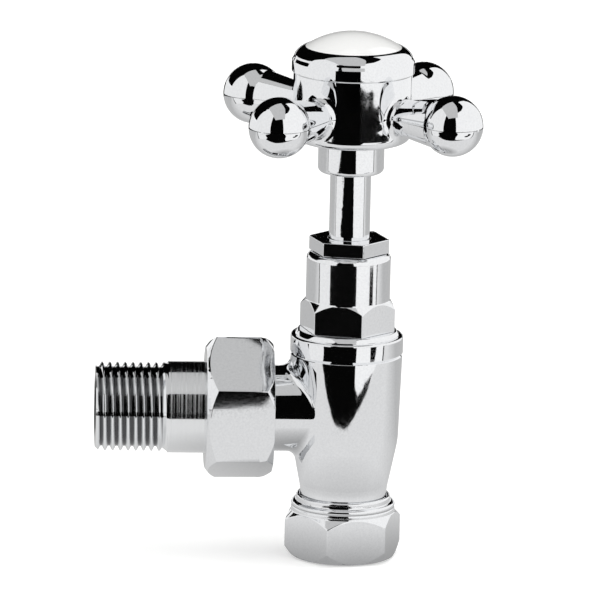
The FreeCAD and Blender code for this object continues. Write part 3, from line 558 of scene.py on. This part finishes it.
finish_piece(bonnet, "bonnet_headwork", "valve_body", stamped_chrome, "bonnet")
plate("bonnet_o_ring", seal_rubber)

# Jumper valve: a turned brass plate whose stem hangs in the spindle on a steel snap ring, with a
# rubber washer held by a small brass nut. All of it is inside the body.
plate("jumper_valve", olive_brass)
plate("jumper_nut", olive_brass)
plate("jumper_washer", seal_rubber)


def zinc_steel(name, grain):
    """Zinc plated steel with crystal patches of the given size, in mm."""
    material, tree, surface, place = new_material(name)
    patches = add_node(tree, "ShaderNodeTexVoronoi", inputs={"Vector": place, "Scale": 1 / (grain * MM)})
    tone = add_node(tree, "ShaderNodeMix", {"data_type": "RGBA"}, {
        "Factor": patches.outputs["Distance"], "A": linear("#AEB4BA"), "B": linear("#8F969D")})
    shader = add_node(tree, "ShaderNodeBsdfPrincipled", inputs={
        "Base Color": tone.outputs["Result"], "Metallic": 1.0, "Roughness": 0.3})
    tree.links.new(shader.outputs["BSDF"], surface)
    return material


# Grey steel with pale crystal patches.
screw_steel = zinc_steel("ZincPlatedSteel", grain=0.8)
plate("jumper_snap_ring", screw_steel)

# Spindle, packing and gland nut: the plated stem, its white packing between two brass rings, and
# the low hexagon nut of plated brass that screws down on them.
gland_flats = 16.5
gland_corner = gland_flats / math.sqrt(3)
gland_turn = 47.5
gland_bore = 4.96
gland_nose_radius = 6.54
gland_nose = 71.35
gland_foot = 73.15
gland_top = 76.45
gland_bevel_width = 0.3
gland_bevel_height = 0.15
gland_edge_round = 0.2

# A bar polished on the lathe: the edges of its reflections waver.
bar_chrome = buffed_chrome("ChromeOnTurnedBar", wave=2.0, depth=0.012, gloss=(0.02, 0.05))
plate("spindle", bar_chrome)
plate("packing_washer", olive_brass)
plate("gland_ring", olive_brass)
# White fluoropolymer with a waxy face.
packing_white = moulded("Fluoropolymer", "#E9E7E0", grain=0.5, roughness=0.45)
plate("gland_packing", packing_white)

gland = turned([
    (gland_bore, gland_nose),
    (gland_nose_radius, gland_nose),
    (gland_nose_radius, gland_foot),
    (gland_corner, gland_foot),
    (gland_corner, gland_top - gland_bevel_height),
    (gland_corner - gland_bevel_width, gland_top),
    (gland_bore, gland_top),
])
mill_hexagon(gland, gland_flats, gland_turn)
soften(gland, gland_edge_round)
finish_piece(gland, "gland_hexagon", "valve_body", stamped_chrome, "gland_nut")

# Crosshead handle: a brass casting of boss, hollow drum and four club arms, buffed and plated,
# held on the stem's square by a zinc plated screw and spring washer inside the drum. The solid's
# drum narrows towards its foot; here its outer wall stands upright.
drum_foot = 99.45
drum_top = 115.85
drum_radius = 13.9
drum_foot_radius = 13.3
drum_draft = (drum_radius - drum_foot_radius) / (drum_top - drum_foot)
drum_hollow = 10.6
arm_fade = 6.0

# A bright even mirror, the smoothest of the plated pieces.
cast_chrome = buffed_chrome("ChromeOnCastBrass", wave=6.0, depth=0.0025, gloss=(0.015, 0.04))
solid_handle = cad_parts["crosshead_handle"].data
casting = bmesh.new()
casting.from_mesh(solid_handle)
facing = casting.loops.layers.float_vector.new("facing")
corners = [corner for face in casting.faces for corner in face.loops]
for corner, normal in zip(corners, solid_handle.corner_normals):
    corner[facing] = normal.vector
bmesh.ops.remove_doubles(casting, verts=casting.verts, dist=cut_play * MM)
for vert in casting.verts:
    reach = vert.co.xy.length / MM
    rise = vert.co.z / MM - drum_foot
    if rise > 0 and reach > drum_hollow:
        wall = drum_foot_radius + drum_draft * rise
        if reach < wall:
            share = (reach - drum_hollow) / (wall - drum_hollow)
        else:
            share = max(0, 1 - (reach - wall) / arm_fade)
        outwards = vert.co.xy.normalized()
        vert.co.xy += outwards * (drum_radius - wall) * share * MM
        for corner in vert.link_loops:
            normal = corner[facing].copy()
            normal.z += drum_draft * share * normal.xy.dot(outwards)
            corner[facing] = normal.normalized()
facings = [corner[facing].copy() for face in casting.faces for corner in face.loops]
casting.loops.layers.float_vector.remove(facing)
handle_mesh = bpy.data.meshes.new("crosshead")
casting.to_mesh(handle_mesh)
casting.free()
handle_mesh.normals_split_custom_set(facings)
handle_mesh.materials.append(cast_chrome)
crosshead = bpy.data.objects.new("crosshead", handle_mesh)
bpy.context.scene.collection.objects.link(crosshead)
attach(crosshead, "handle")
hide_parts("crosshead_handle")
plate("handle_screw", screw_steel)
plate("screw_washer", screw_steel)

# Index: a screw cap turned from brass bar and plated, with a bead and a round shoulder, and the
# domed disc of glazed porcelain that it holds. Its skirt screws into the drum.
cap_foot = drum_top
cap_radius = 14.35
cap_foot_bevel = 0.3
cap_wall_top = 118.65
skirt_inside = 8.54
skirt_outside = 10.44
skirt_depth = 5.0
bead_radius = 13.85
bead_level = 119.5
neck_radius = 13.75
neck_level = 119.97
shoulder_radius = 12.97
shoulder_level = 121.5
shoulder_round = 1.7
cap_top = 121.95
disc_seat = 118.05
disc_recess = 11.3
cap_edge_round = 0.1

cap = turned([
    (0, cap_foot),
    (skirt_inside, cap_foot),
    (skirt_inside, cap_foot - skirt_depth),
    (skirt_outside, cap_foot - skirt_depth),
    (skirt_outside, cap_foot),
    (cap_radius - cap_foot_bevel, cap_foot),
    (cap_radius, cap_foot + cap_foot_bevel),
    (cap_radius, cap_wall_top),
    (bead_radius, bead_level),
    (neck_radius, neck_level),
    (shoulder_radius, shoulder_level, shoulder_round),
    (disc_recess, cap_top),
    (disc_recess, disc_seat),
    (0, disc_seat),
], closed=False)
weld(cap)
soften(cap, cap_edge_round, sharpest=14)
finish_piece(cap, "index_cap", "handle", cast_chrome, "index_bezel")


def glazed_porcelain(name, colour):
    """White fired clay under clear glaze, which lies in slow shallow waves."""
    material, tree, surface, place = new_material(name)
    wave_size = 5
    wave_depth = 0.02
    waves = add_node(tree, "ShaderNodeTexNoise", inputs={
        "Vector": place, "Scale": 1 / (wave_size * MM), "Detail": 2.0})
    relief = add_node(tree, "ShaderNodeBump", inputs={
        "Height": waves.outputs["Fac"], "Distance": wave_depth * MM})
    speck_size = 0.6
    specks = add_node(tree, "ShaderNodeTexNoise", inputs={
        "Vector": place, "Scale": 1 / (speck_size * MM), "Detail": 2.0})
    tint = add_node(tree, "ShaderNodeMix", {"data_type": "RGBA"}, {
        "Factor": specks.outputs["Fac"], "A": linear(colour), "B": linear("#F4F4F2")})
    shader = add_node(tree, "ShaderNodeBsdfPrincipled", inputs={
        "Base Color": tint.outputs["Result"], "Roughness": 0.1, "IOR": 1.5, "Coat Weight": 0.3,
        "Coat Roughness": 0.03, "Normal": relief.outputs["Normal"]})
    tree.links.new(shader.outputs["BSDF"], surface)
    return material


# Cool white with a wet gloss.
index_glaze = glazed_porcelain("GlazedPorcelain", "#F8F8F7")
plate("porcelain_index", index_glaze)

# Studio: a pale floor that keeps the shadow, under soft lamps. What the chrome mirrors is a small
# white tent round the valve, open and black towards the camera, with a grey skylight. Only mirrors
# see the tent, and it stands square to the camera. Its sizes are in metres.
studio = bpy.context.scene
studio.view_settings.view_transform = "Standard"
camera_side = math.radians(-3.0)
sheet = 0.0001
ground_half = 4
floor_reach = 0.492
wall_top = 1.1
back_wall_top = 0.2
flag_top = 1.3
front_flag_foot = -0.1
back_flag_foot = 0.136
ceiling_level = 1.15
skylight_level = 0.56


def put_on_stage(shape, name, material, only_mirrors):
    """Makes a mesh part of the set, turned square to the camera."""
    bmesh.ops.rotate(shape, cent=(0, 0, 0), matrix=Matrix.Rotation(camera_side, 3, "Z"), verts=shape.verts)
    mesh = bpy.data.meshes.new(name)
    shape.to_mesh(mesh)
    shape.free()
    mesh.materials.append(material)
    thing = bpy.data.objects.new(name, mesh)
    studio.collection.objects.link(thing)
    if only_mirrors:
        thing.visible_camera = False
        thing.visible_diffuse = False
        thing.visible_shadow = False
        thing.visible_transmission = False
    return thing


def lay_sheet(name, material, level, corners, only_mirrors=True):
    """A level sheet with the given (x, y) corners."""
    shape = bmesh.new()
    bmesh.ops.contextual_create(shape, geom=[shape.verts.new((x, y, level)) for x, y in corners])
    return put_on_stage(shape, name, material, only_mirrors)


def stand_screen(name, material, low, high, plan):
    """An upright screen over the given (x, y) points, from low to high, that only mirrors see."""
    shape = bmesh.new()
    foot = [shape.verts.new((x, y, low)) for x, y in plan]
    edges = [shape.edges.new(pair) for pair in zip(foot, foot[1:])]
    raised = bmesh.ops.extrude_edge_only(shape, edges=edges)["geom"]
    top = [part for part in raised if isinstance(part, bmesh.types.BMVert)]
    bmesh.ops.translate(shape, vec=(0, 0, high - low), verts=top)
    put_on_stage(shape, name, material, True)


def square(half):
    """The corners of a square about the valve."""
    return [(-half, -half), (half, -half), (half, half), (-half, half)]


def rim(radius, start, end, steps=24):
    """Points of a round edge about the valve, between two bearings from the camera, in degrees."""
    bearings = [math.radians(start + (end - start) * k / steps) for k in range(steps + 1)]
    return [(radius * math.sin(bearing), -radius * math.cos(bearing)) for bearing in bearings]


# Matt paper, nearly white, lifted a little for the camera so that only the shadow stays grey.
paper, tree, surface, place = new_material("PalePaper")
fibre = 2.5
fibres = add_node(tree, "ShaderNodeTexNoise", inputs={
    "Vector": place, "Scale": 1 / (fibre * MM), "Detail": 2.0})
tone = add_node(tree, "ShaderNodeMix", {"data_type": "RGBA"}, {
    "Factor": fibres.outputs["Fac"], "A": linear("#F3F3F2"), "B": linear("#F7F7F6")})
matt = add_node(tree, "ShaderNodeBsdfPrincipled", inputs={
    "Base Color": tone.outputs["Result"], "Roughness": 0.9})
rays = add_node(tree, "ShaderNodeLightPath")
lift = add_node(tree, "ShaderNodeMath", {"operation": "MULTIPLY"}, {
    0: rays.outputs["Is Camera Ray"], 1: 0.3})
glow = add_node(tree, "ShaderNodeEmission", inputs={"Strength": lift.outputs["Value"]})
whole = add_node(tree, "ShaderNodeAddShader", inputs={0: matt.outputs["BSDF"], 1: glow.outputs["Emission"]})
tree.links.new(whole.outputs["Shader"], surface)
floor = lay_sheet("floor", paper, -sheet, square(ground_half), only_mirrors=False)
floor.visible_glossy = False

# Velvet that gives the mirrors a deep even black.
black, tree, surface, place = new_material("BlackVelvet")
nap_size = 3
nap = add_node(tree, "ShaderNodeTexNoise", inputs={"Vector": place, "Scale": 1 / (nap_size * MM)})
pile = add_node(tree, "ShaderNodeMapRange", inputs={
    "Value": nap.outputs["Fac"], "To Min": 0.9, "To Max": 1.0})
cloth = add_node(tree, "ShaderNodeBsdfPrincipled", inputs={
    "Base Color": linear("#050505"), "Roughness": pile.outputs["Result"], "Specular IOR Level": 0.0})
tree.links.new(cloth.outputs["BSDF"], surface)

# Glowing cloth underfoot that only mirrors see, with the floor's light painted into its glow: pale in
# front, painted shade that greys it behind, and a painted shadow of the valve close round it.
painted_floor_light, tree, surface, place = new_material("TentFloor")
split = add_node(tree, "ShaderNodeSeparateXYZ", inputs={"Vector": place})
# Painted shade: the glow greys towards the back.
depth = add_node(tree, "ShaderNodeMapRange", inputs={
    "Value": split.outputs["Y"], "From Min": -0.015, "From Max": 0.09})
tone = add_node(tree, "ShaderNodeMix", {"data_type": "RGBA"}, {
    "Factor": depth.outputs["Result"], "A": linear("#E6E6E6"), "B": linear("#C0C0C0")})
distance = add_node(tree, "ShaderNodeVectorMath", {"operation": "LENGTH"}, {0: place})
# Painted shadow of the valve: the glow dims close round it.
shade = add_node(tree, "ShaderNodeMapRange", inputs={
    "Value": distance.outputs["Value"], "From Min": 0.01, "From Max": 0.05, "To Min": 0.45, "To Max": 1.0})
glow = add_node(tree, "ShaderNodeEmission", inputs={
    "Color": tone.outputs["Result"], "Strength": shade.outputs["Result"]})
tree.links.new(glow.outputs["Emission"], surface)


def lit_cloth(name, colour):
    """White tent cloth with light behind it."""
    material, tree, surface = new_material(name)[:3]
    glow = add_node(tree, "ShaderNodeEmission", inputs={"Color": linear(colour), "Strength": 1.0})
    tree.links.new(glow.outputs["Emission"], surface)
    return material


# Even light: white on the right, a shade less on the left and grey overhead.
left_cloth = lit_cloth("TentLeft", "#F4F4F4")
right_cloth = lit_cloth("TentRight", "#FFFFFF")
sky_cloth = lit_cloth("TentSkylight", "#C8C8C8")

lay_sheet("tent_floor", painted_floor_light, 0, rim(floor_reach, -180, 180)[1:])
lay_sheet("front_apron", black, 2 * sheet, [
    (-0.5, -0.118), (-0.04, -0.118), (-0.02, -0.122), (0.052, -0.126), (0.089, -0.119), (0.148, -0.096),
    (0.2, -0.05), (0.25, -0.03), (0.5, -0.025), (0.5, -0.55), (-0.5, -0.55)])
lay_sheet("left_strap", black, 3 * sheet, [(-0.5, -0.034), (-0.2, -0.034), (-0.2, -0.02), (-0.5, -0.02)])
lay_sheet("left_card", left_cloth, 5 * sheet, rim(floor_reach, -86, -33) + [
    (-0.257, -0.367), (-0.333, -0.28), (-0.289, -0.226), (-0.263, -0.22), (-0.219, -0.184),
    (-0.166, -0.16), (-0.15, -0.118), (-0.205, -0.034)])
lay_sheet("right_card", right_cloth, 5 * sheet, rim(floor_reach, 84.5, 16) + [
    (0.134, -0.375), (0.1285, -0.318), (0.107, -0.265), (0.065, -0.2), (0.048, -0.15), (0.0605, -0.137),
    (0.1, -0.125), (0.1375, -0.1), (0.19, -0.06), (0.25, -0.042)])
lay_sheet("right_strap", black, 8 * sheet, [
    (0.165, -0.146), (0.186, -0.118), (0.2695, -0.093), (0.324, -0.112), (0.297, -0.1715),
    (0.247, -0.1425), (0.184, -0.1625)])
lay_sheet("dark_ground", black, -30 * sheet, square(ground_half))
stand_screen("tent_left", left_cloth, 0, wall_top, [
    (-0.319, -0.491), (-0.432, -0.35), (-0.55, -0.1), (-0.55, 0.1)])
stand_screen("tent_left_back", left_cloth, 0, back_wall_top, [(-0.55, 0.1), (-0.5, 0.3), (-0.3, 0.5)])
stand_screen("tent_right", right_cloth, 0, wall_top, [
    (0.142, -0.571), (0.346, -0.459), (0.503, -0.245), (0.532, 0.075), (0.5, 0.25), (0.25, 0.5)])
stand_screen("front_flag", black, front_flag_foot, flag_top, [(-0.9, -0.9), (0.8, -0.9)])
stand_screen("back_flag", black, back_flag_foot, flag_top, [(-0.6, 0.6), (0.6, 0.6)])
lay_sheet("ceiling_flag", black, ceiling_level, square(ground_half))
lay_sheet("tent_skylight", sky_cloth, skylight_level, [
    (-0.186, -0.57), (0.213, -0.475), (0.109, -0.027), (0.009, 0.195), (-0.27, 0.063)])


def upright(x, y, z, turn):
    """Place of a lamp that stands upright, its face turned about Z from the front, in degrees."""
    stand = Matrix.Rotation(math.radians(turn), 4, "Z") @ Matrix.Rotation(math.pi / 2, 4, "X")
    return Matrix.Translation((x, y, z)) @ stand


def soft_lamp(name, width, height, radiance, place):
    """A rectangular lamp of even radiance, shining along its own -Z before it is placed."""
    light = bpy.data.lights.new(name, "AREA")
    light.shape = "RECTANGLE"
    light.size = width
    light.size_y = height
    light.energy = radiance * math.pi * width * height
    lamp = bpy.data.objects.new(name, light)
    lamp.matrix_world = place
    lamp.visible_glossy = False
    studio.collection.objects.link(lamp)


soft_lamp("right_lamp", width=3.4, height=1.74, radiance=0.7, place=upright(1.35, -0.05, 0.885, turn=80))
soft_lamp("left_lamp", width=2.4, height=1.5, radiance=0.6, place=upright(-1.4, -0.3, 0.8, turn=-70))
soft_lamp("overhead_lamp", width=2.0, height=2.0, radiance=1.3, place=Matrix.Translation((0.2, -0.2, 2.0)))

surround = bpy.data.worlds.new("white_surround")
studio.world = surround
surround.use_nodes = True
tree = surround.node_tree
tree.nodes.clear()
rays = add_node(tree, "ShaderNodeLightPath")
mirrored = add_node(tree, "ShaderNodeMath", {"operation": "ADD"}, {
    0: rays.outputs["Is Camera Ray"], 1: rays.outputs["Is Glossy Ray"]})
seen = add_node(tree, "ShaderNodeMath", {"operation": "ADD", "use_clamp": True}, {
    0: mirrored.outputs["Value"], 1: rays.outputs["Is Transmission Ray"]})
brightness = add_node(tree, "ShaderNodeMapRange", inputs={
    "Value": seen.outputs["Value"], "To Min": 0.6, "To Max": 1.0})
sky = add_node(tree, "ShaderNodeBackground", inputs={
    "Color": linear("#FFFFFF"), "Strength": brightness.outputs["Result"]})
add_node(tree, "ShaderNodeOutputWorld", inputs={"Surface": sky.outputs["Background"]})

# Camera: a long lens two metres off, a little to the left and above, with the frame rolled
# slightly as in the photograph.
focal_length = 512
camera_distance = 2.0
camera_height = math.radians(12.7)
camera_roll = math.radians(1.3)
aim = Vector((-0.0112, 0, 0.06125))
across = math.cos(camera_height)
back = Vector((math.sin(camera_side) * across, -math.cos(camera_side) * across, math.sin(camera_height)))
lens = bpy.data.cameras.new("long_lens")
lens.lens = focal_length
lens.clip_end = 20
camera = bpy.data.objects.new("camera", lens)
aimed = back.to_track_quat("Z", "Y").to_matrix().to_4x4() @ Matrix.Rotation(camera_roll, 4, "Z")
camera.matrix_world = Matrix.Translation(aim + back * camera_distance) @ aimed
studio.collection.objects.link(camera)
studio.camera = camera
